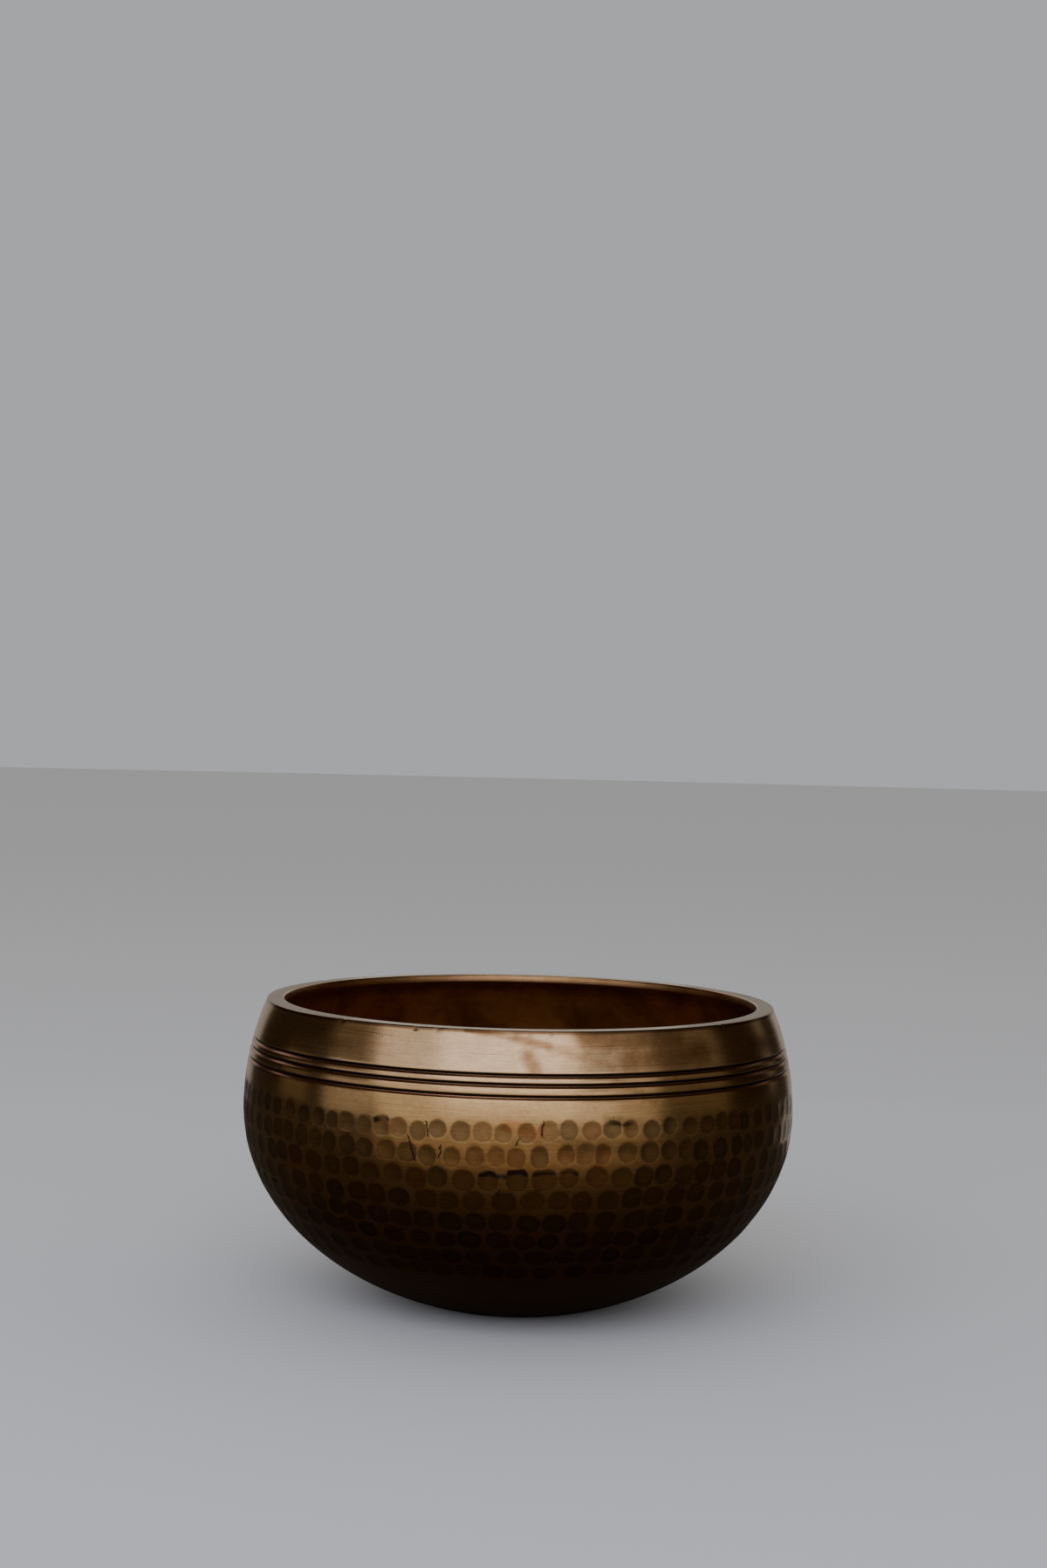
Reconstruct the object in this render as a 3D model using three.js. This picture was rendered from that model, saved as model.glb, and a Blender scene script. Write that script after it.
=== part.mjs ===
// A hammered bronze bowl of the singing-bowl type: one piece of metal, turned above and hammered below.
// Millimetres, +Z up. The origin is the centre of the flat underside that the bowl rests on.
import * as THREE from 'three';

// ---- Driving dimensions -------------------------------------------------------------------------------

const height = 76;
const bellyRadius = 70;          // the widest outside radius
const bellyHeight = 49;          // how high the widest ring lies above the underside
const shoulderRadius = 67.5;     // the outline above the belly is an arc of this radius
const bowlDepth = 52;            // below the belly it is a quarter ellipse, this deep before it is cut flat
const wall = 2.6;

const rimInnerRadius = 60.2;     // the rim is thicker than the wall, and stands inwards as a lip
const lipHeight = 2;
const lipSlope = 0.6;            // the lip's underside slopes back, and meets the wall this much lower
const rimOuterRounding = 0.5;
const rimInnerRounding = 0.35;
const footRounding = 1.4;        // the outline is eased this far on each side of the underside's edge

// Distances from here on are measured along the outside, down from the top of the rim.
const grooveCentres = [10.4, 12.6, 15.3];
const grooveHalfWidth = 0.6;
const grooveDepth = 0.5;

const hammeredFrom = 20.4;
const rowPitch = 5.45;
const marksInRow = [88, 84, 74, 70, 68, 65, 61, 57];
const markDepth = 0.35;
const markStagger = 0.5;         // uneven spacing of the marks, as a share of their pitch
const rowWander = 0.7;           // the scatter of a row's marks up and down, in all
const rowWave = 0.45;            // a row also rises and falls this far, in slow waves from the front

const segmentsOutside = 80;
const segmentsInside = 64;
const roundingSteps = 3;
const plainSteps = 3;
const wallSteps = 11;
const undersideSteps = 4;
const numbersPerRow = 100;       // every mark has a number of its own, from which its unevenness comes

const fullTurn = 2 * Math.PI;
const front = -fullTurn / 4;     // the angle of -Y

// ---- Outline ------------------------------------------------------------------------------------------

const riseToRim = height - bellyHeight;
const shoulderCentre = bellyRadius - shoulderRadius;
const rimAngle = Math.asin(riseToRim / shoulderRadius);
const cutAngle = Math.asin(bellyHeight / bowlDepth);

const outline = new THREE.CurvePath();
outline.add(new THREE.EllipseCurve(
  shoulderCentre, bellyHeight, shoulderRadius, shoulderRadius, rimAngle, 0, true));
outline.add(new THREE.EllipseCurve(0, bellyHeight, bellyRadius, bowlDepth, 0, -cutAngle, true));
const outlineLength = outline.getLength();

// A point of the outline, x being the radius and y the height, moved by depth into the metal.
function outlineAt(distance, depth = 0) {
  const share = distance / outlineLength;
  const along = outline.getTangent(share);
  return outline.getPoint(share).add(new THREE.Vector2(along.y, -along.x).multiplyScalar(depth));
}

// ---- Rings and the skin between them ------------------------------------------------------------------

const positions = [];
const triangles = [];
let previousRing = null;

// A ring's vertices in the order of their angles. A ring without angles is a single point on the axis.
function addRing(corners) {
  const ring = { first: positions.length / 3, angles: [] };
  for (const { angle, point } of corners) {
    positions.push(point.x * Math.cos(angle), point.x * Math.sin(angle), point.y);
    if (point.x > 0) ring.angles.push(angle);
  }
  if (previousRing) addSkin(previousRing, ring);
  previousRing = ring;
}

function addEvenRing(point, count) {
  const corners = [];
  for (let i = 0; i < count; i += 1) corners.push({ angle: (i / count) * fullTurn, point });
  addRing(corners);
}

// Joins two rings of any number of vertices, always stepping along the ring whose next edge comes first.
function addSkin(upper, lower) {
  const edges = ring => ring.angles.length;
  const vertex = (ring, k) => ring.first + (edges(ring) ? k % edges(ring) : 0);
  const angle = (ring, k) => ring.angles[k % edges(ring)] + fullTurn * Math.floor(k / edges(ring));
  const middle = (ring, k) => (k < edges(ring) ? angle(ring, k) + angle(ring, k + 1) : Infinity);
  let i = 0;
  let j = 0;
  while (i < edges(upper) || j < edges(lower)) {
    if (middle(upper, i) < middle(lower, j)) {
      triangles.push(vertex(upper, i), vertex(lower, j), vertex(upper, i + 1));
      i += 1;
    } else {
      triangles.push(vertex(upper, i), vertex(lower, j), vertex(lower, j + 1));
      j += 1;
    }
  }
}

// ---- Inside: from the middle of the floor up to the lip ------------------------------------------------

function addInside() {
  const wallTop = lipHeight + lipSlope;
  const wallEnd = outlineLength - 2 * footRounding;
  const floorRadius = outlineAt(outlineLength, wall).x - footRounding;
  addRing([{ angle: 0, point: new THREE.Vector2(0, wall) }]);
  addEvenRing(new THREE.Vector2(floorRadius, wall), segmentsInside);
  for (let i = wallSteps; i >= 0; i -= 1) {
    addEvenRing(outlineAt(THREE.MathUtils.lerp(wallTop, wallEnd, i / wallSteps), wall), segmentsInside);
  }
  addEvenRing(new THREE.Vector2(rimInnerRadius, height - lipHeight), segmentsInside);
}

// ---- Rim: rounded inner edge, flat top, rounded outer edge ---------------------------------------------

function addRim() {
  const innerCentre = new THREE.Vector2(rimInnerRadius + rimInnerRounding, height - rimInnerRounding);
  const outerRadius = outlineAt(rimOuterRounding).x;
  const outerCentre = new THREE.Vector2(outerRadius - rimOuterRounding, height - rimOuterRounding);
  const quarter = fullTurn / 4;
  for (let i = 0; i < roundingSteps; i += 1) {
    const turn = 2 * quarter - (quarter * i) / (roundingSteps - 1);
    addEvenRing(onArc(innerCentre, rimInnerRounding, turn), segmentsInside);
  }
  for (let i = 0; i < roundingSteps; i += 1) {
    const turn = quarter - (quarter * i) / (roundingSteps - 1);
    addEvenRing(onArc(outerCentre, rimOuterRounding, turn), segmentsOutside);
  }
}

function onArc(centre, radius, turn) {
  return new THREE.Vector2(Math.cos(turn), Math.sin(turn)).multiplyScalar(radius).add(centre);
}

// ---- Outside above the hammering: a plain turned band with three V grooves -----------------------------

function addTurnedBand() {
  for (let i = 1; i < plainSteps; i += 1) {
    addEvenRing(outlineAt((grooveCentres[0] * i) / plainSteps), segmentsOutside);
  }
  for (const centre of grooveCentres) {
    addEvenRing(outlineAt(centre - grooveHalfWidth), segmentsOutside);
    addEvenRing(outlineAt(centre, grooveDepth), segmentsOutside);
    addEvenRing(outlineAt(centre + grooveHalfWidth), segmentsOutside);
  }
  addEvenRing(outlineAt((grooveCentres.at(-1) + hammeredFrom) / 2), segmentsOutside);
}

// ---- Hammered zone: rows of dished marks, each row with its own number of marks ------------------------

// Steady unevenness from -0.5 to 0.5 for one mark of one row: the fractional parts of the squares times
// the root of a prime scatter as chance does, and each prime gives another scatter.
function unevenness(row, mark, prime) {
  const wave = (mark + row * numbersPerRow) ** 2 * Math.sqrt(prime);
  return wave - Math.floor(wave) - 0.5;
}

// The land between mark number `mark` and the mark before it.
function landAngle(row, mark) {
  const count = marksInRow[row];
  const wrapped = mark % count;    // the last land is the first one again, a full turn on
  const shift = (row % 2) / 2 + markStagger * unevenness(row, wrapped, 2);
  return ((mark + shift) / count) * fullTurn;
}

function addHammeredRows() {
  marksInRow.forEach((count, row) => {
    const top = hammeredFrom + row * rowPitch;
    const edge = [];
    const middle = [];
    for (let mark = 0; mark < count; mark += 1) {
      const land = landAngle(row, mark);
      const centre = (land + landAngle(row, mark + 1)) / 2;
      const wander = rowWander * unevenness(row, mark, 3);
      const wave = rowWave * Math.sin((3 + (row % 3)) * (front - centre));
      edge.push({ angle: land, point: outlineAt(top + (row > 0 ? wander : 0)) });
      middle.push({ angle: land, point: outlineAt(top + rowPitch / 2) });
      middle.push({ angle: centre, point: outlineAt(top + rowPitch / 2 + wander + wave, markDepth) });
    }
    addRing(edge);
    addRing(middle);
  });
}

// ---- Underside: plain from the last row to the flat that the bowl stands on ----------------------------

function addUnderside() {
  const start = hammeredFrom + marksInRow.length * rowPitch;
  const edge = outlineLength - footRounding;
  for (let i = 0; i <= undersideSteps; i += 1) {
    addEvenRing(outlineAt(THREE.MathUtils.lerp(start, edge, i / undersideSteps)), segmentsInside);
  }
  addEvenRing(new THREE.Vector2(outlineAt(outlineLength).x - footRounding, 0), segmentsInside);
  addRing([{ angle: 0, point: new THREE.Vector2(0, 0) }]);
}

// ---- The bowl ------------------------------------------------------------------------------------------

addInside();
addRim();
addTurnedBand();
addHammeredRows();
addUnderside();

const geometry = new THREE.BufferGeometry();
geometry.setAttribute('position', new THREE.Float32BufferAttribute(positions, 3));
geometry.setIndex(triangles);
geometry.computeVertexNormals();

const bronze = new THREE.MeshStandardMaterial({ color: 0x9c7a4c, roughness: 0.34, metalness: 1 });
const bowl = new THREE.Mesh(geometry, bronze);
bowl.name = 'bowl';

const part = new THREE.Group();
part.add(bowl);

export default part;
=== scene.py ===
"""A hammered bronze bowl of the singing-bowl type: one piece, turned above and hammered below.

Lengths are in millimetres until a mesh is made, and the outline is the one that the CAD solid has.
"down" is the distance along the outside from the top of the rim. It is negative across the rim and inside.
"""
import math

import bpy
import numpy as np
from mathutils import Matrix, Vector


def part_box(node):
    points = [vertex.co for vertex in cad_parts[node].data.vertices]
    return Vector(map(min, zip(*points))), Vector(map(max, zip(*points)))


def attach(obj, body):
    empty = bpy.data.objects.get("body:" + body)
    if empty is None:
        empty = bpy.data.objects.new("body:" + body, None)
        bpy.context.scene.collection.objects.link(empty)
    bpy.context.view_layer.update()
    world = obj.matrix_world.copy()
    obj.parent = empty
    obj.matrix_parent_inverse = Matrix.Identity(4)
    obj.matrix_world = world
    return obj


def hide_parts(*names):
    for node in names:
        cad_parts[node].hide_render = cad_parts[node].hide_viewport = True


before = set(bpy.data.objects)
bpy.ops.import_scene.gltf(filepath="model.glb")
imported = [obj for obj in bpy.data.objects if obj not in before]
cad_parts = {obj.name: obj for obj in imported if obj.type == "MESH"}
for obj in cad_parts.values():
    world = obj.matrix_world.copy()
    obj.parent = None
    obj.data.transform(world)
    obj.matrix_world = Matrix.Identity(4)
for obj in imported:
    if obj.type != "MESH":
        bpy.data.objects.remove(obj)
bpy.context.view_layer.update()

# ---- Dimensions -------------------------------------------------------------------------------------------

MM = 0.001
FULL_TURN = 2 * math.pi
FRONT = -FULL_TURN / 4

low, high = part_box("bowl")
HEIGHT = (high[2] - low[2]) / MM
BELLY_RADIUS = min(-low[0], -low[1], high[0], high[1]) / MM
BELLY_HEIGHT = 49.0
SHOULDER_RADIUS = 67.5
BOWL_DEPTH = 52.0
WALL = 2.6

RIM_INNER_RADIUS = 60.2
RIM_OUTER_ROUNDING = 0.5
RIM_INNER_ROUNDING = 0.35
LIP_HEIGHT = 2.0
LIP_SLOPE = 0.6
LIP_ROUNDING = 0.3
LIP_LEAN = 0.2                   # the lip's foot stands this much further in than its top
# The lip takes part of the inside's colour, and so part of its painted shade.
LIP_WARMTH = 0.45                # how far its colour is that of the inside
FOOT_ROUNDING = 1.4

GROOVE_CENTRES = (10.4, 12.6, 15.3)
GROOVE_HALF_WIDTH = 0.6
GROOVE_DEPTH = 0.5

HAMMERED_FROM = 20.4
ROW_PITCH = 5.45
MARKS_IN_ROW = (88, 84, 74, 70, 68, 65, 61, 57)
NUMBERS_PER_ROW = 100
MARK_STAGGER = 0.5
ROW_WANDER = 0.7
ROW_WAVE = 0.45
MARK_DEPTH = 0.13
TOP_ROW_DEPTH = 0.085
MARK_GAP = 0.65                  # how much narrower than their pitch a row's marks are
MARK_HALF_HEIGHT = 2.42
TOP_ROW_HALF_HEIGHT = 2.2
LAND_WIDTH = 0.45                # the least width of the land between two marks
DISH_POWER = 2.4                 # 2 is a round dish, and more makes its middle flatter
SQUARENESS = 2.3                 # the power of a mark's outline: 2 is an ellipse, and more is squarer
HAMMERED_TO = HAMMERED_FROM + ROW_PITCH * len(MARKS_IN_ROW)
UNMARKED = 3.0                   # the distance to a mark's edge that stands for "no mark near"
SWAY = 0.05                      # the hammered zone lies from 0 to twice this deeper, in slow waves
ROW_REACH = 1.2                  # how far from the middle of its row a mark can reach, in row pitches

# The whole range of a mark's unevenness: shares of its width, height and depth, radians, and the power.
WIDTH_SCATTER = 0.22
HEIGHT_SCATTER = 0.14
DEPTH_SCATTER = 0.6
LEAN_SCATTER = 0.7
SQUARENESS_SCATTER = 0.7

RIM_NICKS = (-21.7, 6.5, 48.0)   # azimuths of the nicks that show from the front, in degrees
HIDDEN_NICKS = 9
NICK_WIDTH, NICK_WIDTH_SCATTER = 0.6, 0.5
NICK_DEPTH, NICK_DEPTH_SCATTER = 0.13, 0.10
NICK_DROP = 0.6                  # how far a nick lowers the edge, as a share of its depth

SEGMENTS_INSIDE = 240
SEGMENTS_OUTSIDE = 3 * SEGMENTS_INSIDE
HAMMERED_STEP = 0.62
GROOVE_RINGS = (-0.68, -0.56, -0.08, 0.08, 0.56, 0.68)     # distances from a groove's centre
GROOVE_MARGIN = 1.2              # how far from a groove's centre the plain rings stop
BAND_RINGS = 10
PLAIN_RINGS = 4
FLOOR_RINGS = 7
WALL_RINGS = 34
LIP_RINGS = 4
RIM_INNER_RINGS = 5
RIM_OUTER_RINGS = 6
UNDERSIDE_RINGS = 15
FOOT_RINGS = ((0.45, 0.06), (0.9, 0.0))    # share of the foot's rounding, and height
FLAT_STEPS = 6

INSIDE_DOWN = -6.0               # "down" on the lip's underside, and at the top of the wall inside
FLOOR_DOWN = -120.0              # "down" in the middle of the floor inside


# ---- Outline ----------------------------------------------------------------------------------------------

def outline_table():
    """Distance down the outside, radius and height at close steps.

    The outline is an arc, then a quarter ellipse cut flat.
    """
    steps = 3000
    above = np.linspace(math.asin((HEIGHT - BELLY_HEIGHT) / SHOULDER_RADIUS), 0, steps)
    below = np.linspace(0, math.asin(BELLY_HEIGHT / BOWL_DEPTH), steps)[1:]
    radius = np.concatenate([
        BELLY_RADIUS - SHOULDER_RADIUS + SHOULDER_RADIUS * np.cos(above),
        BELLY_RADIUS * np.cos(below),
    ])
    level = np.concatenate([
        BELLY_HEIGHT + SHOULDER_RADIUS * np.sin(above),
        BELLY_HEIGHT - BOWL_DEPTH * np.sin(below),
    ])
    run = np.hypot(np.diff(radius), np.diff(level))
    return np.concatenate([[0], np.cumsum(run)]), radius, level


OUTLINE = outline_table()
OUTLINE_LENGTH = OUTLINE[0][-1]


def outline_at(down, depth=0.0):
    """Radius and height of the outline at a distance down, moved by depth into the metal."""
    table, radius, level = OUTLINE
    step = 0.01
    near = [np.interp(down - step, table, values) for values in (radius, level)]
    far = [np.interp(down + step, table, values) for values in (radius, level)]
    along = [b - a for a, b in zip(near, far)]
    size = np.hypot(*along)
    here_radius = np.interp(down, table, radius)
    here_level = np.interp(down, table, level)
    return here_radius + along[1] / size * depth, here_level - along[0] / size * depth


# ---- Hammer marks -----------------------------------------------------------------------------------------

def unevenness(row, mark, prime):
    """Steady unevenness from -0.5 to 0.5: fractional parts of squares times the root of a prime."""
    wave = (mark + row * NUMBERS_PER_ROW) ** 2 * math.sqrt(prime)
    return wave - np.floor(wave) - 0.5


def land_angles(row, marks):
    """The angle of the land before each mark of a row."""
    count = MARKS_IN_ROW[row]
    shift = (row % 2) / 2 + MARK_STAGGER * unevenness(row, marks % count, 2)
    return (marks + shift) / count * FULL_TURN


def row_of_marks(row):
    """Centre, half sizes, lean, depth, squareness and a number of its own for each mark of a row."""
    count = MARKS_IN_ROW[row]
    marks = np.arange(count)
    angle = (land_angles(row, marks) + land_angles(row, marks + 1)) / 2
    level = HAMMERED_FROM + (row + 0.5) * ROW_PITCH
    pitch = outline_at(level)[0] * FULL_TURN / count
    wave = ROW_WAVE * np.sin((3 + row % 3) * (FRONT - angle))
    half_height = MARK_HALF_HEIGHT if row > 0 else TOP_ROW_HALF_HEIGHT
    depth = MARK_DEPTH if row > 0 else TOP_ROW_DEPTH
    return {
        "angle": angle,
        "down": level + ROW_WANDER * unevenness(row, marks, 3) + wave,
        "half_width": (pitch - MARK_GAP) / 2 * (1 + WIDTH_SCATTER * unevenness(row, marks, 5)),
        "half_height": half_height * (1 + HEIGHT_SCATTER * unevenness(row, marks, 7)),
        "lean": LEAN_SCATTER * unevenness(row, marks, 11),
        "depth": depth * (1 + DEPTH_SCATTER * unevenness(row, marks, 13)),
        "squareness": SQUARENESS + SQUARENESS_SCATTER * unevenness(row, marks, 17),
        "chance": 0.5 + unevenness(row, marks, 19),
    }


def hammer(down, angle):
    """Depth, distance outside the nearest mark's edge, that mark's chance number and the height within it.

    Where marks meet, a line of land is left between them, so the edge runs midway.
    """
    far = np.full_like(down, UNMARKED)
    nearest, second, size = far.copy(), far.copy(), far.copy()
    full, chance, rise = np.zeros_like(down), np.zeros_like(down), np.zeros_like(down)
    radius = outline_at(down)[0]
    for row, count in enumerate(MARKS_IN_ROW):
        marks = row_of_marks(row)
        near = np.abs(down - HAMMERED_FROM - (row + 0.5) * ROW_PITCH) < ROW_REACH * ROW_PITCH
        guess = np.floor(angle / FULL_TURN * count - (row % 2) / 2).astype(int)
        for offset in (-2, -1, 0, 1, 2):
            which = (guess[near] + offset) % count
            mark = {name: values[which] for name, values in marks.items()}
            turn = angle[near] - mark["angle"]
            turn -= FULL_TURN * np.round(turn / FULL_TURN)
            across = turn * radius[near]
            along = down[near] - mark["down"]
            leant = across * np.cos(mark["lean"]) + along * np.sin(mark["lean"])
            upright = along * np.cos(mark["lean"]) - across * np.sin(mark["lean"])
            power = mark["squareness"]
            reach = (np.abs(leant / mark["half_width"]) ** power
                     + np.abs(upright / mark["half_height"]) ** power) ** (1 / power)
            half_size = np.minimum(mark["half_width"], mark["half_height"])
            outside = (reach - 1) * half_size
            closer = outside < nearest[near]
            second[near] = np.where(closer, nearest[near], np.minimum(second[near], outside))
            for kept, value in ((nearest, outside), (size, half_size), (full, mark["depth"]),
                                (chance, mark["chance"]), (rise, upright / mark["half_height"])):
                kept[near] = np.where(closer, value, kept[near])
    edge = np.maximum(nearest, (nearest - second + LAND_WIDTH) / 2)
    inside = np.clip(-edge / size, 0, 1)
    return full * (1 - (1 - inside) ** DISH_POWER), edge, chance, rise


# ---- Films on the metal, and painted shade in some marks' upper edges -------------------------------------

# Strokes of each film: azimuth and distance down of both ends, half width in millimetres, and strength.
# Azimuth 0 is the side that faces the camera, and 90 is +X.
BROWN_STROKES = (
    (-11, 0.2, -1, 1.6, 0.9, 0.8), (-1, 1.6, 6, 3.6, 1.5, 0.75), (6, 3.6, 19, 8.6, 2.0, 0.5),
    (1.0, 2.8, 1.8, 5.5, 1.7, 0.45), (1.8, 6.2, 3.0, 9.0, 2.7, 0.7), (13, 1.5, 34, 3.0, 3.8, 0.7),
    (22, 7.0, 40, 6.0, 4.2, 0.7), (-52, 5.0, -34, 6.5, 2.6, 0.5), (19, 11.5, 27, 16.5, 1.8, 0.5),
)
GREEN_STROKES = (
    (10, 26, 24, 27, 2.6, 0.7), (17, 20, 24, 22, 2.2, 0.6), (-9, 27, -6, 30, 1.8, 0.5),
    (33, 20, 60, 30, 5.0, 0.6), (-30, 34, -20, 38, 3.0, 0.4), (38, 40, 20, 44, 4.0, 0.4),
)
COPPER_STROKES = (
    (-2, 21.5, 4, 23.5, 2.2, 0.8), (-6, 29, 6, 31, 2.4, 0.5), (2, 12, 12, 15, 1.6, 0.35),
    (-34, 24, -28, 27, 2.6, 0.4),
)
# Strokes of painted shade rather than of a film: the marks' upper edges there are painted dark as shade, and
# the strongest parts dark all over.
MARK_SHADE_STROKES = (
    (-6.4, 32.2, 1.2, 32.4, 1.8, 1.0), (-4.3, 33.2, -2.0, 33.4, 1.1, 1.6), (2.6, 32.6, 11.4, 32.8, 1.5, 0.58),
    (-29, 21, -27, 23, 1.6, 0.6), (18, 21.2, 22, 21.6, 1.3, 0.5),
)


HIDDEN_FROM, HIDDEN_SPAN = 50, 260    # the azimuths that the camera hardly sees, in degrees
STROKE_LENGTH, STROKE_LENGTH_SCATTER = 8, 14          # degrees
STROKE_WIDTH, STROKE_WIDTH_SCATTER = 2.4, 3.0         # half widths
STROKE_SLOPE_SCATTER = 5


def scattered_strokes(kind, count, deepest, strength):
    """Strokes of a film, and of the painted mark shade, round the rest of the bowl, out of the camera's
    sight.
    """
    strokes = []
    for stroke in range(count):
        azimuth = HIDDEN_FROM + HIDDEN_SPAN * (0.5 + unevenness(kind, stroke, 2))
        down = deepest * (0.5 + unevenness(kind, stroke, 3))
        length = STROKE_LENGTH + STROKE_LENGTH_SCATTER * unevenness(kind, stroke, 5)
        width = STROKE_WIDTH + STROKE_WIDTH_SCATTER * unevenness(kind, stroke, 7)
        slope = STROKE_SLOPE_SCATTER * unevenness(kind, stroke, 11)
        strokes.append((azimuth, down, azimuth + length, down + slope, width, strength))
    return tuple(strokes)


def film(strokes, down, angle):
    """How much of a film lies at a distance down and an angle: the strongest of its soft-edged strokes."""
    cover = np.zeros_like(angle)
    azimuth = np.degrees(angle) + 90
    per_degree = FULL_TURN * BELLY_RADIUS / 360
    for start, start_down, end, end_down, width, strength in strokes:
        turn = (azimuth - start + 180) % 360 - 180
        across = (end - start) * per_degree
        along = end_down - start_down
        share = (turn * per_degree * across + (down - start_down) * along) / (across ** 2 + along ** 2)
        share = np.clip(share, 0, 1)
        gap = np.hypot(turn * per_degree - across * share, down - start_down - along * share)
        cover = np.maximum(cover, strength * np.exp(-((gap / width) ** 2)))
    return cover


FILMS = {
    "film_brown": BROWN_STROKES + scattered_strokes(60, 22, 26, 0.7),
    "film_green": GREEN_STROKES + scattered_strokes(70, 18, 50, 0.6),
    "film_copper": COPPER_STROKES + scattered_strokes(80, 16, 50, 0.6),
    # Painted shade in the upper edges of marks.
    "film_mark_shade": MARK_SHADE_STROKES + scattered_strokes(95, 7, 46, 0.8),
}


# ---- The bowl's mesh --------------------------------------------------------------------------------------

class Skin:
    """Rings of vertices from the middle of the floor, up the inside, over the rim and down to the foot."""

    def __init__(self):
        self.points = []
        self.faces = []
        self.facts = {name: [] for name in ("down", "inner", "mark_edge", "mark_chance", "mark_rise", *FILMS)}
        self.count = 0
        self.last = None

    def add_ring(self, radius, level, segments, down, inner=0.0, marks=(UNMARKED, 0.0, 0.0)):
        """Adds a ring, whose radius and height may differ along it, and the skin to the ring before it."""
        angle = np.arange(segments) / segments * FULL_TURN
        radius = np.broadcast_to(radius, segments)
        level = np.broadcast_to(level, segments)
        self.points.append(np.stack([radius * np.cos(angle), radius * np.sin(angle), level], 1))
        values = (down, inner, *marks, *(film(strokes, down, angle) for strokes in FILMS.values()))
        for kept, value in zip(self.facts.values(), values):
            kept.append(np.broadcast_to(value, segments))
        ring = (self.count, segments)
        self.count += segments
        if self.last:
            self.join(self.last, ring)
        self.last = ring

    def join(self, before, after):
        """Faces between two rings, of which one may have a whole number of times the other's vertices."""
        (first, many), (start, few) = before, after
        sides = min(many, few) if min(many, few) > 1 else max(many, few)
        for i in range(sides):
            upper = self.span(first, many, i, sides)
            lower = self.span(start, few, i, sides)
            self.faces.append((*upper[::-1], *lower))

    @staticmethod
    def span(start, count, side, sides):
        """A ring's vertices along one side of the skin. A ring of one vertex gives just that."""
        if count == 1:
            return [start]
        ratio = count // sides
        return [start + (side * ratio + k) % count for k in range(ratio + 1)]


def arc(centre_radius, centre_level, size, start, end, steps):
    """Points of an arc, from one angle to another."""
    return [
        (centre_radius + size * math.cos(turn), centre_level + size * math.sin(turn))
        for turn in np.linspace(start, end, steps)
    ]


def add_inside(skin):
    """The floor, the wall and the underside of the lip."""
    quarter = math.pi / 2
    floor_radius = outline_at(OUTLINE_LENGTH, WALL)[0] - FOOT_ROUNDING
    skin.add_ring(0.0, WALL, 1, FLOOR_DOWN, 1.0)
    for radius in np.linspace(0, floor_radius, FLOOR_RINGS + 1)[1:]:
        skin.add_ring(radius, WALL, SEGMENTS_INSIDE, FLOOR_DOWN + radius, 1.0)
    top = LIP_HEIGHT + LIP_SLOPE
    for down in np.linspace(OUTLINE_LENGTH - 2 * FOOT_ROUNDING, top, WALL_RINGS):
        radius, level = outline_at(down, WALL)
        skin.add_ring(radius, level, SEGMENTS_INSIDE, INSIDE_DOWN - down, 1.0)
    lip = arc(RIM_INNER_RADIUS - LIP_LEAN + LIP_ROUNDING, HEIGHT - LIP_HEIGHT + LIP_ROUNDING,
              LIP_ROUNDING, 2.7 * quarter, 2 * quarter, LIP_RINGS)
    for radius, level in lip:
        skin.add_ring(radius, level, SEGMENTS_INSIDE, INSIDE_DOWN, LIP_WARMTH)


def add_rim(skin):
    """The rounded inner edge, the flat top and the rounded outer edge."""
    quarter = math.pi / 2
    outer = outline_at(RIM_OUTER_ROUNDING)[0] - RIM_OUTER_ROUNDING
    inner_edge = arc(RIM_INNER_RADIUS + RIM_INNER_ROUNDING, HEIGHT - RIM_INNER_ROUNDING,
                     RIM_INNER_ROUNDING, 2 * quarter, quarter, RIM_INNER_RINGS)
    outer_edge = arc(outer, HEIGHT - RIM_OUTER_ROUNDING, RIM_OUTER_ROUNDING, quarter, 0.0,
                     RIM_OUTER_RINGS)
    for step, (radius, level) in enumerate(inner_edge):
        warmth = LIP_WARMTH if step == 0 else 0.0
        skin.add_ring(radius, level, SEGMENTS_INSIDE, RIM_INNER_RADIUS - outer, warmth)
    nick = rim_nicks(np.arange(SEGMENTS_OUTSIDE) / SEGMENTS_OUTSIDE * FULL_TURN)
    for radius, level in outer_edge:
        skin.add_ring(radius - nick, level - nick * NICK_DROP, SEGMENTS_OUTSIDE, radius - outer)


def rim_nicks(angle):
    """Small dents in the rim's outer edge."""
    depth = np.zeros_like(angle)
    azimuths = RIM_NICKS + tuple(360 * unevenness(90, nick, 23) for nick in range(HIDDEN_NICKS))
    for nick, azimuth in enumerate(azimuths):
        turn = angle - math.radians(azimuth - 90)
        turn -= FULL_TURN * np.round(turn / FULL_TURN)
        width = NICK_WIDTH + NICK_WIDTH_SCATTER * unevenness(91, nick, 29)
        size = NICK_DEPTH + NICK_DEPTH_SCATTER * unevenness(92, nick, 31)
        depth += size * np.exp(-((turn * RIM_INNER_RADIUS / width) ** 2))
    return depth


def outside_levels():
    """Distances down at which the outside has a ring: close in the grooves and in the hammered zone."""
    levels = list(np.linspace(0.9, GROOVE_CENTRES[0] - GROOVE_MARGIN, BAND_RINGS))
    for centre in GROOVE_CENTRES:
        levels += [centre + offset for offset in GROOVE_RINGS]
    levels += list(np.linspace(GROOVE_CENTRES[-1] + GROOVE_MARGIN, HAMMERED_FROM - 0.9, PLAIN_RINGS))
    levels += list(np.arange(HAMMERED_FROM - 0.3, HAMMERED_TO + 0.6, HAMMERED_STEP))
    return levels


def groove_depth(down):
    """Depth of the V grooves at a distance down."""
    depth = 0.0
    for centre in GROOVE_CENTRES:
        depth += GROOVE_DEPTH * max(0.0, 1 - abs(down - centre) / GROOVE_HALF_WIDTH)
    return depth


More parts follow.
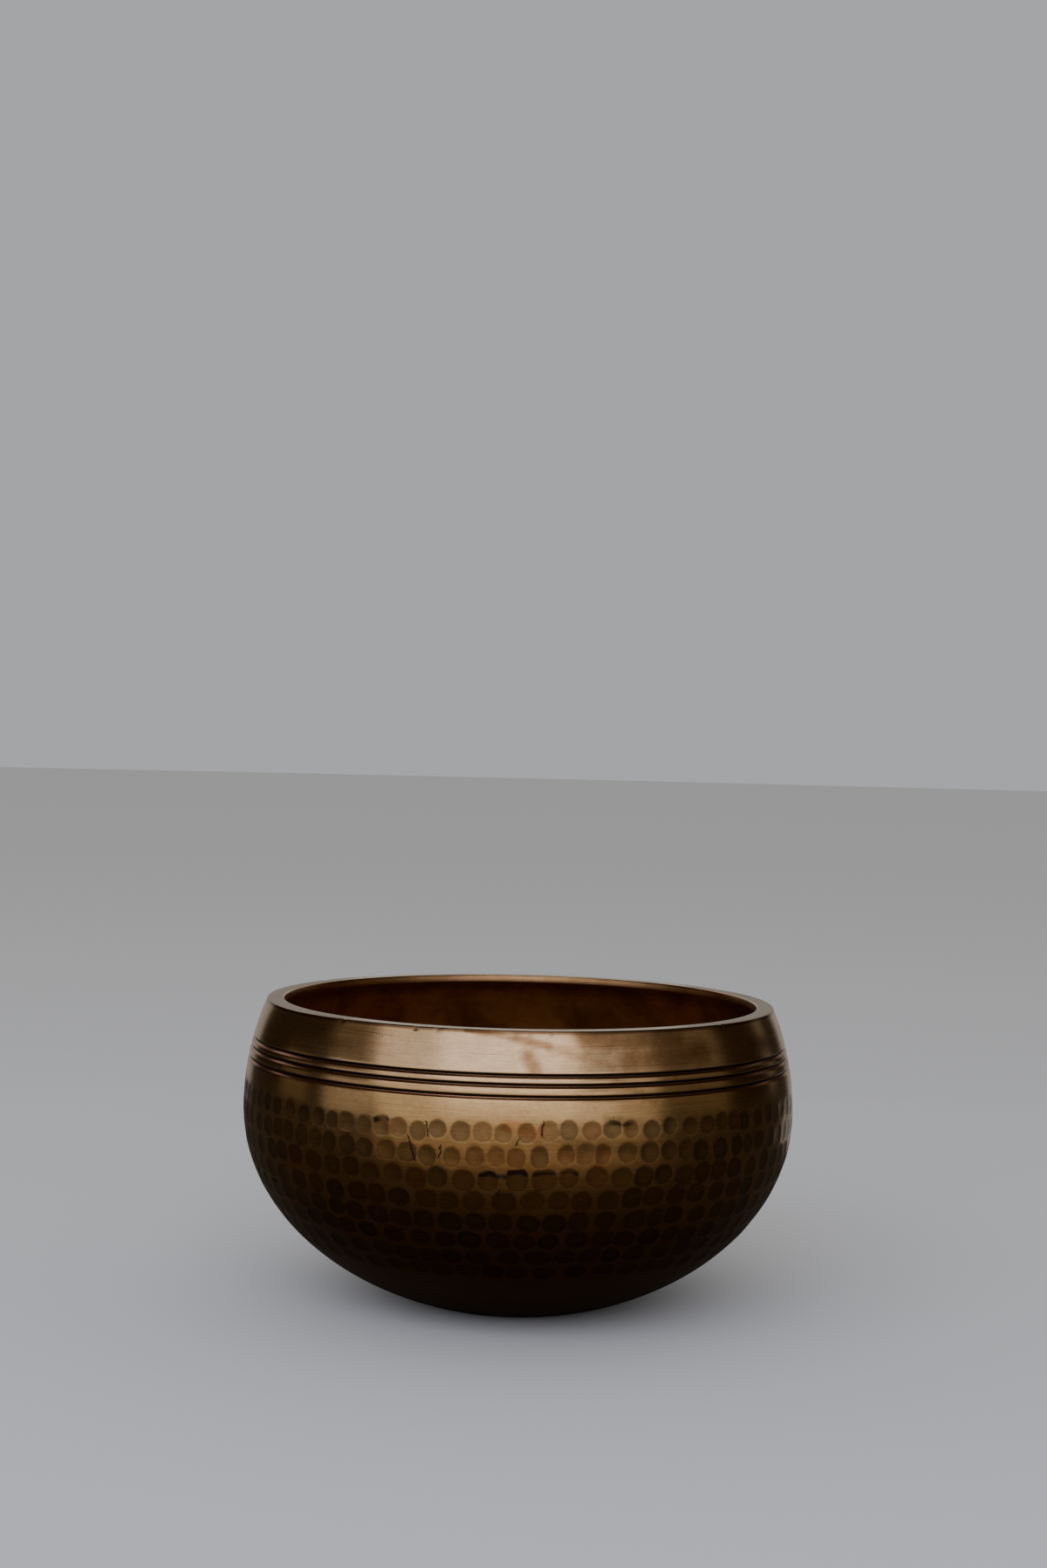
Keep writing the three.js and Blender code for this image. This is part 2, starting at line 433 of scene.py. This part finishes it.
def add_outside(skin):
    """The turned band, the hammered zone and the plain underside."""
    angle = np.arange(SEGMENTS_OUTSIDE) / SEGMENTS_OUTSIDE * FULL_TURN
    for down in outside_levels():
        level = np.full(SEGMENTS_OUTSIDE, down)
        dish, edge, chance, rise = hammer(level, angle)
        sway = SWAY + SWAY * np.sin(3 * angle + 0.21 * down) * np.sin(5 * angle - 0.37 * down)
        worn = np.clip((down - HAMMERED_FROM) / ROW_PITCH, 0, 1)
        radius, height = outline_at(level, dish + groove_depth(down) + sway * worn)
        skin.add_ring(radius, height, SEGMENTS_OUTSIDE, down, marks=(edge, chance, rise))
    for down in np.linspace(HAMMERED_TO + 1.6, OUTLINE_LENGTH - FOOT_ROUNDING, UNDERSIDE_RINGS):
        radius, height = outline_at(down, SWAY)
        skin.add_ring(radius, height, SEGMENTS_INSIDE, down)
    foot_radius = outline_at(OUTLINE_LENGTH)[0]
    for share, height in FOOT_RINGS:
        skin.add_ring(foot_radius - FOOT_ROUNDING * share, height, SEGMENTS_INSIDE, OUTLINE_LENGTH + share)
    for radius in np.linspace(foot_radius - FOOT_ROUNDING, 0, FLAT_STEPS + 1)[1:-1]:
        skin.add_ring(radius, 0.0, SEGMENTS_INSIDE, OUTLINE_LENGTH + foot_radius - radius)
    skin.add_ring(0.0, 0.0, 1, OUTLINE_LENGTH + foot_radius)


def make_bowl():
    """The whole bowl as one closed mesh, with the facts that its material reads as attributes."""
    skin = Skin()
    add_inside(skin)
    add_rim(skin)
    add_outside(skin)
    mesh = bpy.data.meshes.new("hammered_bowl")
    mesh.from_pydata((np.concatenate(skin.points) * MM).tolist(), [], skin.faces)
    mesh.validate()
    for name, values in skin.facts.items():
        attribute = mesh.attributes.new(name, "FLOAT", "POINT")
        attribute.data.foreach_set("value", np.concatenate(values).astype(np.float32))
    mesh.shade_smooth()
    bowl = bpy.data.objects.new("hammered_bowl", mesh)
    bpy.context.scene.collection.objects.link(bowl)
    return bowl


# ---- Material ---------------------------------------------------------------------------------------------

class Nodes:
    """A material, with short ways to add its shader nodes and link them."""

    def __init__(self, name):
        self.material = bpy.data.materials.new(name)
        self.material.use_nodes = True
        self.tree = self.material.node_tree
        self.shader = self.tree.nodes["Principled BSDF"]

    def put(self, socket, value):
        if isinstance(value, bpy.types.NodeSocket):
            self.tree.links.new(value, socket)
        elif value is not None:
            socket.default_value = value

    def add(self, kind, inputs=(), output=0, **settings):
        node = self.tree.nodes.new(kind)
        for name, value in settings.items():
            setattr(node, name, value)
        for key, value in dict(inputs).items():
            self.put(node.inputs[key], value)
        return node.outputs[output]

    def math(self, operation, first, second=None, third=None):
        inputs = {0: first, 1: second, 2: third}
        return self.add("ShaderNodeMath", inputs, operation=operation)

    def attribute(self, name):
        return self.add("ShaderNodeAttribute", output="Fac", attribute_name=name)

    def mix(self, share, first, second, blend="MIX"):
        node = self.tree.nodes.new("ShaderNodeMix")
        node.data_type = "RGBA"
        node.blend_type = blend
        self.put(node.inputs[0], share)
        self.put(node.inputs[6], first)
        self.put(node.inputs[7], second)
        return node.outputs[2]

    def ramp(self, value, start, end, low=0.0, high=1.0):
        """A smooth step from low at start to high at end."""
        node = self.tree.nodes.new("ShaderNodeMapRange")
        node.interpolation_type = "SMOOTHSTEP"
        for key, number in enumerate((value, start, end, low, high)):
            self.put(node.inputs[key], number)
        return node.outputs[0]

    def vector(self, x, y, z):
        return self.add("ShaderNodeCombineXYZ", {0: x, 1: y, 2: z})

    def noise(self, vector, scale, detail=3.0, roughness=0.55, distortion=0.0):
        inputs = {"Vector": vector, "Scale": scale, "Detail": detail, "Roughness": roughness,
                  "Distortion": distortion}
        return self.add("ShaderNodeTexNoise", inputs)

    def voronoi(self, vector, scale, feature, output="Distance"):
        return self.add("ShaderNodeTexVoronoi", {"Vector": vector, "Scale": scale}, output,
                        feature=feature)


def colour(red, green, blue):
    return (red, green, blue, 1.0)


BAND_BRONZE = colour(0.68, 0.42, 0.205)
LAND_BRONZE = colour(0.54, 0.31, 0.118)
MARK_BROWNS = (colour(0.26, 0.135, 0.044), colour(0.20, 0.115, 0.041), colour(0.30, 0.142, 0.051))
# Painted shade: multiplied into the bronze towards the foot, so that the lower half is darker as if in shade.
LOWER_SHADE_TINT = colour(0.50, 0.41, 0.32)
# Painted shade: the inside's bronze is darker than the outside's, as the inside of the bowl lies in shade.
SHADED_INNER_BROWN = colour(0.45, 0.19, 0.045)
RIM_TINT = colour(0.53, 0.47, 0.41)
# Painted reflection: the dark line along the rim's outer rounding.
RIM_EDGE_REFLECTION_TINT = colour(0.40, 0.34, 0.30)
BROWN_TINT = colour(0.52, 0.42, 0.33)
GREEN_TINT = colour(0.52, 0.56, 0.50)
COPPER_TINT = colour(0.98, 0.80, 0.72)
# Painted reflection: the coppery glow on the grooves' lower faces.
GROOVE_REFLECTION_COPPER = colour(0.48, 0.20, 0.090)
# Near-black for cracks and pits, and for painted shade in the grooves' upper faces and some marks' upper
# edges.
GRIME_AND_SHADE = colour(0.018, 0.012, 0.008)

# Hair cracks: azimuth, distance down of both ends, and how far the lower end lies to the right.
CRACKS = (
    (-17.3, 21.4, 25.4, 0.5), (-14.4, 26.6, 30.2, -0.3), (-21.0, 24.8, 31.2, 2.2), (-25.6, 21.0, 22.6, 0.8),
    (4.9, 20.4, 24.2, -0.5), (0.6, 24.4, 26.6, -1.4), (-3.0, 36.2, 38.2, -0.9), (101.0, 20.6, 25.6, 0.7),
    (163.0, 25.0, 31.4, -1.2), (214.0, 21.0, 26.6, 1.0), (219.0, 27.0, 30.0, -0.4), (-78.0, 22.0, 27.0, 0.8),
)

# Scratches: azimuth and distance down of both ends.
SCRATCHES = (
    (-50, 1.5, -20, 3.1), (-52, 2.9, -29, 3.3), (-40, 4.7, -24, 4.9), (14, 8.1, 40, 8.4),
    (24, 17.5, 58, 17.9), (-30, 18.3, -6, 18.6), (-12, 5.6, 0, 5.7), (95, 3.4, 128, 4.4),
    (118, 6.9, 150, 7.0), (-160, 2.2, -120, 3.5), (-110, 18.0, -82, 18.3),
)


class Places:
    """Where a point of the bowl is: millimetres in space, azimuth, and what its mesh says of it."""

    def __init__(self, n):
        place = n.add("ShaderNodeTexCoord", output="Object")
        x, y, z = (n.math("MULTIPLY", n.add("ShaderNodeSeparateXYZ", {0: place}, axis), 1 / MM)
                   for axis in range(3))
        self.space = n.vector(x, y, z)
        self.round = n.math("MULTIPLY", n.math("ARCTAN2", x, n.math("MULTIPLY", y, -1.0)), BELLY_RADIUS)
        self.down = n.attribute("down")
        self.inner = n.attribute("inner")
        self.edge = n.attribute("mark_edge")
        self.chance = n.attribute("mark_chance")
        self.rise = n.attribute("mark_rise")
        self.x, self.y = x, y

    def stretched(self, n, around, across):
        """Coordinates for texture drawn out along the turning direction."""
        return n.vector(n.math("MULTIPLY", self.x, around), n.math("MULTIPLY", self.y, around),
                        n.math("MULTIPLY", self.down, across))


def brushing(n, at):
    """The lathe's lines: long soft streaks and short fine scratches."""
    streaks = n.noise(at.stretched(n, 0.03, 1.9), 1.0, 4.0, 0.7)
    scratches = n.noise(at.stretched(n, 0.12, 4.2), 1.0, 4.0, 0.7)
    return streaks, n.math("ADD", n.math("MULTIPLY", streaks, 0.5), n.math("MULTIPLY", scratches, 0.5))


def film_cover(n, name, mottle, start, end):
    """A film's cover with its edges broken up by the mottle."""
    uneven = n.math("MULTIPLY", n.math("SUBTRACT", mottle, 0.5), 0.7)
    return n.ramp(n.math("ADD", n.attribute(name), uneven), start, end)


def groove_faces(n, at):
    """Masks of the grooves' faces: the upper ones get painted shadow, the lower ones a painted reflection."""
    upper, lower = 0.0, 0.0
    for centre in GROOVE_CENTRES:
        offset = n.math("SUBTRACT", at.down, centre)
        above = n.math("MULTIPLY", n.ramp(offset, -0.58, -0.48), n.ramp(offset, 0.08, -0.02))
        below = n.math("MULTIPLY", n.ramp(offset, -0.02, 0.08), n.ramp(offset, 0.66, 0.56))
        upper = n.math("MAXIMUM", upper, above)
        lower = n.math("MAXIMUM", lower, below)
    return upper, lower


def crack_lines(n, at, wobble):
    """Wavering hairlines at the places in CRACKS."""
    cracks = 0.0
    circumference = FULL_TURN * BELLY_RADIUS
    for azimuth, start, end, shift in CRACKS:
        turned = (azimuth + 180) % 360 - 180
        middle = n.math("MULTIPLY_ADD", at.down, shift / (end - start),
                        turned / 360 * circumference - start * shift / (end - start))
        middle = n.math("MULTIPLY_ADD", wobble, 2.6, middle)
        line = n.ramp(n.math("ABSOLUTE", n.math("SUBTRACT", at.round, middle)), 0.34, 0.12)
        ends = n.math("MULTIPLY", n.ramp(at.down, start - 0.2, start + 0.3),
                      n.ramp(at.down, end + 0.2, end - 0.8))
        cracks = n.math("MAXIMUM", cracks, n.math("MULTIPLY", line, ends))
    return cracks


def scratch_lines(n, at):
    """Fine scratches that run round the band, at the places in SCRATCHES."""
    scratches = 0.0
    per_degree = FULL_TURN * BELLY_RADIUS / 360
    for start, start_down, end, end_down in SCRATCHES:
        slope = (end_down - start_down) / ((end - start) * per_degree)
        level = n.math("MULTIPLY_ADD", at.round, slope, start_down - slope * start * per_degree)
        line = n.ramp(n.math("ABSOLUTE", n.math("SUBTRACT", at.down, level)), 0.14, 0.04)
        fade = (end - start) * per_degree / 4
        ends = n.math("MULTIPLY", n.ramp(at.round, start * per_degree, start * per_degree + fade),
                      n.ramp(at.round, end * per_degree, end * per_degree - fade))
        scratches = n.math("MAXIMUM", scratches, n.math("MULTIPLY", line, ends))
    return scratches


def dark_details(n, at, wobble):
    """Cracks, painted shade in the upper edges of some marks, and small pits."""
    cracks = crack_lines(n, at, wobble)
    mark_shade_film = n.attribute("film_mark_shade")
    uneven_edge = n.math("MULTIPLY_ADD", wobble, 1.8, at.edge)
    # Painted shade: a dark crescent along a mark's upper edge, and dark patches where the strokes are
    # strongest.
    crescent = n.math("MULTIPLY", n.ramp(uneven_edge, 0.40, 0.05), n.ramp(uneven_edge, -1.70, -0.70))
    upper_edge = n.math("MULTIPLY", crescent, n.ramp(at.rise, -0.10, -0.55))
    painted_mark_shade = n.math("MULTIPLY", upper_edge, n.ramp(mark_shade_film, 0.25, 0.6))
    painted_mark_shade = n.math("MAXIMUM", painted_mark_shade, n.ramp(n.math("ADD", mark_shade_film, wobble), 0.9, 1.6))
    pits = n.math("MULTIPLY", n.ramp(n.voronoi(at.space, 0.2, "F1"), 0.05, 0.025),
                  n.ramp(n.noise(at.space, 0.21, 0.0), 0.53, 0.57))
    outside = n.math("MULTIPLY", n.ramp(at.inner, 0.5, 0.0), n.ramp(at.down, 0.4, 1.2))
    return n.math("MAXIMUM", n.math("MAXIMUM", cracks, n.math("MULTIPLY", pits, outside)), painted_mark_shade)


def bronze_material():
    """Bronze: lathe brushing, darker hammer marks, films, grooves, hair cracks, pits, painted shade and
    reflections.
    """
    n = Nodes("hammered_bronze")
    at = Places(n)
    streaks, brushed = brushing(n, at)
    mottle = n.noise(at.space, 0.32, 4.0, 0.65)
    clouds = n.noise(at.space, 0.06, 3.0, 0.6, 0.5)
    speckle = n.noise(at.stretched(n, 0.9, 2.6), 1.0, 2.0, 0.5)
    wobble = n.math("MULTIPLY", n.math("SUBTRACT", n.noise(at.space, 0.9, 2.0), 0.5), 0.5)

    in_mark = n.ramp(n.math("MULTIPLY_ADD", wobble, 0.9, at.edge), 0.24, -0.24)
    mark_core = n.ramp(at.edge, -0.2, -1.9)
    smear = n.math("MULTIPLY_ADD", streaks, 0.6, n.math("MULTIPLY", mottle, 0.4))
    brown = film_cover(n, "film_brown", smear, 0.20, 0.80)
    green = film_cover(n, "film_green", mottle, 0.25, 0.85)
    copper = film_cover(n, "film_copper", mottle, 0.25, 0.8)
    # Painted shade: the bronze darkens from about 26 mm down to 62 mm down, with cloudy edges.
    lower = n.ramp(n.math("MULTIPLY_ADD", clouds, 8.0, at.down), 26.0, 62.0)
    # Painted shadow on the grooves' upper faces and a painted reflection on their lower faces.
    painted_groove_shadow, painted_groove_reflection = groove_faces(n, at)
    rim_top = n.math("MULTIPLY", n.ramp(at.down, -4.5, -3.5), n.ramp(at.down, 0.3, 0.0))
    # Painted dark reflection along the rim's outer rounding.
    painted_rim_reflection = n.math("MULTIPLY", n.ramp(at.down, 0.1, 0.35), n.ramp(at.down, 0.95, 0.6))
    worn_lines = n.math("MULTIPLY", n.ramp(streaks, 0.56, 0.66), n.ramp(clouds, 0.42, 0.60))
    worn_lines = n.math("MAXIMUM", worn_lines, scratch_lines(n, at))
    # Cracks and pits, and painted shade in some marks' upper edges.
    dark = dark_details(n, at, wobble)

    # Colour, from the bare metal up.
    base = n.mix(n.ramp(at.down, 18.5, 8.0), LAND_BRONZE, BAND_BRONZE)
    browns = n.mix(n.ramp(at.chance, 0.30, 0.45), MARK_BROWNS[0], MARK_BROWNS[1])
    browns = n.mix(n.ramp(at.chance, 0.62, 0.75), browns, MARK_BROWNS[2])
    browns = n.mix(n.math("MULTIPLY", mark_core, 0.15), browns, LAND_BRONZE)
    base = n.mix(n.math("MULTIPLY", in_mark, n.ramp(at.chance, 0.0, 1.0, 0.80, 1.0)), base, browns)
    base = n.mix(n.math("MULTIPLY", n.ramp(mottle, 0.40, 0.72), 0.22), base, BROWN_TINT, "MULTIPLY")
    base = n.mix(copper, base, COPPER_TINT, "MULTIPLY")
    base = n.mix(brown, base, BROWN_TINT, "MULTIPLY")
    base = n.mix(n.math("MULTIPLY", green, 0.8), base, GREEN_TINT, "MULTIPLY")
    # Painted shade towards the foot.
    base = n.mix(lower, base, LOWER_SHADE_TINT, "MULTIPLY")
    # Painted shade over the inside.
    base = n.mix(at.inner, base, SHADED_INNER_BROWN)
    base = n.mix(n.math("MULTIPLY", at.inner, n.ramp(clouds, 0.38, 0.66)), base, BROWN_TINT, "MULTIPLY")
    base = n.mix(rim_top, base, RIM_TINT, "MULTIPLY")
    # Painted dark reflection along the rim's outer rounding.
    base = n.mix(painted_rim_reflection, base, RIM_EDGE_REFLECTION_TINT, "MULTIPLY")
    base = n.mix(n.math("MULTIPLY", worn_lines, 0.5), base, BROWN_TINT, "MULTIPLY")
    base = n.mix(1.0, base, n.ramp(brushed, 0.25, 0.75, 0.76, 1.12), "MULTIPLY")
    base = n.mix(1.0, base, n.ramp(speckle, 0.3, 0.7, 0.93, 1.04), "MULTIPLY")
    # Painted reflection on the grooves' lower faces.
    base = n.mix(n.math("MULTIPLY", painted_groove_reflection, 0.9), base, GROOVE_REFLECTION_COPPER)
    # Painted shadow on the grooves' upper faces.
    base = n.mix(painted_groove_shadow, base, GRIME_AND_SHADE)
    # Cracks and pits, and painted shade in some marks' upper edges.
    base = n.mix(n.math("MULTIPLY", dark, 0.92), base, GRIME_AND_SHADE)

    # Roughness.
    rough = n.math("MULTIPLY_ADD", brushed, 0.12, 0.13)
    rough = n.math("MULTIPLY_ADD", at.inner, 0.27, rough)
    rough = n.math("MULTIPLY_ADD", in_mark, 0.06, rough)
    rough = n.math("MULTIPLY_ADD", brown, 0.07, rough)
    rough = n.math("MULTIPLY_ADD", green, 0.10, rough)
    rough = n.math("MULTIPLY_ADD", n.math("MAXIMUM", painted_groove_shadow, dark), 0.3, rough)

    # Relief finer than the mesh.
    relief = n.math("MULTIPLY", brushed, 0.014)
    relief = n.math("MULTIPLY_ADD", mottle, 0.010, relief)
    relief = n.math("MULTIPLY_ADD", in_mark, -0.008, relief)
    relief = n.math("MULTIPLY_ADD", dark, -0.012, relief)
    bump = n.add("ShaderNodeBump", {"Height": relief, "Distance": MM, "Strength": 1.0}, "Normal")

    n.put(n.shader.inputs["Base Color"], base)
    n.put(n.shader.inputs["Roughness"], rough)
    n.put(n.shader.inputs["Normal"], bump)
    n.shader.inputs["Metallic"].default_value = 1.0
    return n.material


# ---- Studio -----------------------------------------------------------------------------------------------

PALE = colour(0.82, 0.80, 0.76)
FLOOR_RADIUS = 9.0

# What the polished metal sees of the floor, so that its lower half stays deep: dark, with a wide patch
# in front of the bowl painted brighter, as a painted pool of the window's light.
DARK = colour(0.080, 0.064, 0.045)
LIT = colour(0.47, 0.38, 0.26)
LIT_MIDDLE = (0.0, -0.85, 0.0)
LIT_FROM, LIT_TO = 0.57, 0.785     # the lit patch is full within the first of these distances
BACKDROP = colour(0.438, 0.445, 0.466)
REFLECTED_BACKDROP = colour(0.024, 0.016, 0.008)

WARM = (1.0, 0.93, 0.80)
NEUTRAL = (1.0, 1.0, 0.95)
CLEAR = (0.97, 1.0, 1.12)
COOL = (0.95, 1.02, 1.22)
COOLEST = (0.90, 1.04, 1.50)


def make_floor():
    """A wide pale floor, which the bowl reflects as a dark one."""
    bpy.ops.mesh.primitive_circle_add(vertices=96, radius=FLOOR_RADIUS, fill_type="NGON", location=(0, 0, 0))
    floor = bpy.context.object
    floor.name = "floor"
    n = Nodes("floor_paint")
    glossy = n.add("ShaderNodeLightPath", output="Is Glossy Ray")
    place = n.add("ShaderNodeTexCoord", output="Object")
    away = n.add("ShaderNodeVectorMath", {0: place, 1: LIT_MIDDLE}, "Value", operation="DISTANCE")
    reflected = n.mix(n.ramp(away, LIT_TO, LIT_FROM), DARK, LIT)
    n.put(n.shader.inputs["Base Color"], n.mix(glossy, PALE, reflected))
    n.shader.inputs["Roughness"].default_value = 0.9
    n.shader.inputs["Specular IOR Level"].default_value = 0.1
    floor.data.materials.append(n.material)


def soft_light(name, azimuth, elevation, distance, size, radiance, shade, on_floor=True):
    """An area light facing the bowl. Azimuth 0 is the camera's side and 90 is +X.

    A light's radiance is a quarter of its energy over its area.
    """
    data = bpy.data.lights.new(name, "AREA")
    data.shape = "RECTANGLE"
    data.size, data.size_y = size
    data.energy = 4 * radiance * size[0] * size[1]
    data.color = shade
    light = bpy.data.objects.new(name, data)
    a, e = math.radians(azimuth), math.radians(elevation)
    away = Vector((math.sin(a) * math.cos(e), -math.cos(a) * math.cos(e), math.sin(e)))
    light.location = Vector((0, 0, BELLY_HEIGHT * MM)) + away * distance
    light.rotation_euler = away.to_track_quat("Z", "Y").to_euler()
    light.visible_camera = False
    light.visible_diffuse = on_floor
    bpy.context.scene.collection.objects.link(light)


def make_lights():
    """A large window behind the camera, curtains and walls at its sides, and the backdrop.

    The ones that only the metal sees have on_floor False.
    """
    soft_light("window", -19, 24, 1.3, (2.25, 1.3), 0.68, COOL)
    soft_light("window_middle", -8, 29, 1.3, (1.12, 1.1), 0.53, COOLEST)
    soft_light("window_low", 27, 8, 1.3, (0.56, 0.30), 0.42, COOLEST, False)
    soft_light("left_wall", -72, 5, 1.3, (0.56, 0.42), 0.33, COOL, False)
    soft_light("left_curtain", -74, 28, 1.3, (0.62, 0.60), 0.09, WARM, False)
    soft_light("left_far", -103, 3, 1.3, (0.43, 0.28), 0.09, WARM, False)
    soft_light("right_curtain", 38.5, 18, 1.3, (0.90, 1.0), 0.41, CLEAR, False)
    soft_light("right_wall", 76, 14, 1.3, (0.88, 0.9), 0.085, WARM, False)
    soft_light("right_gap", 129, 16, 1.3, (0.16, 0.9), 0.11, NEUTRAL, False)
    soft_light("back_window", 215, 32, 1.3, (0.95, 0.5), 0.35, COOL, False)
    soft_light("backdrop", 182, 15.3, 0.311, (0.52, 0.266), 0.25, NEUTRAL, False)
    soft_light("low_wall", 146, -9, 0.21, (0.16, 0.027), 0.22, NEUTRAL, False)
    soft_light("backdrop_middle", 180, 22.6, 0.325, (0.13, 0.19), 0.22, NEUTRAL, False)
    soft_light("ceiling", 0, 89, 1.2, (0.7, 0.7), 0.6, NEUTRAL, False)


def make_world():
    """The pale backdrop. The metal sees it much dimmer, so that the lights alone shape the bowl."""
    world = bpy.data.worlds.new("studio")
    world.use_nodes = True
    nodes, links = world.node_tree.nodes, world.node_tree.links
    path = nodes.new("ShaderNodeLightPath")
    seen = nodes.new("ShaderNodeMix")
    seen.data_type = "RGBA"
    seen.inputs[6].default_value = BACKDROP
    seen.inputs[7].default_value = REFLECTED_BACKDROP
    links.new(path.outputs["Is Glossy Ray"], seen.inputs[0])
    links.new(seen.outputs[2], nodes["Background"].inputs["Color"])
    bpy.context.scene.world = world


SENSOR_WIDTH = 36.0
LENS = 52.1
CAMERA_DISTANCE = 0.5804
CAMERA_ABOVE_RIM = 0.0652
CAMERA_PITCH = math.radians(0.99)
CAMERA_ROLL = math.radians(1.33)
CAMERA_YAW = math.radians(-0.05)


def make_camera():
    """The main view: a little above the rim, nearly level, and rolled by a degree."""
    data = bpy.data.cameras.new("camera")
    data.sensor_width = SENSOR_WIDTH
    data.lens = LENS
    camera = bpy.data.objects.new("camera", data)
    forward = Vector((math.sin(CAMERA_YAW) * math.cos(CAMERA_PITCH),
                      math.cos(CAMERA_YAW) * math.cos(CAMERA_PITCH),
                      -math.sin(CAMERA_PITCH)))
    level_right = Vector((math.cos(CAMERA_YAW), -math.sin(CAMERA_YAW), 0))
    level_up = level_right.cross(forward)
    right = level_right * math.cos(CAMERA_ROLL) + level_up * math.sin(CAMERA_ROLL)
    up = right.cross(forward)
    turn = Matrix((right, up, -forward)).transposed().to_4x4()
    camera.matrix_world = Matrix.Translation((0, -CAMERA_DISTANCE, HEIGHT * MM + CAMERA_ABOVE_RIM)) @ turn
    bpy.context.scene.collection.objects.link(camera)
    bpy.context.scene.camera = camera


# ---- Put together -----------------------------------------------------------------------------------------

make_camera()
make_world()
make_floor()
make_lights()

bowl = make_bowl()
bowl.data.materials.append(bronze_material())
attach(bowl, "root")
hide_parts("bowl")
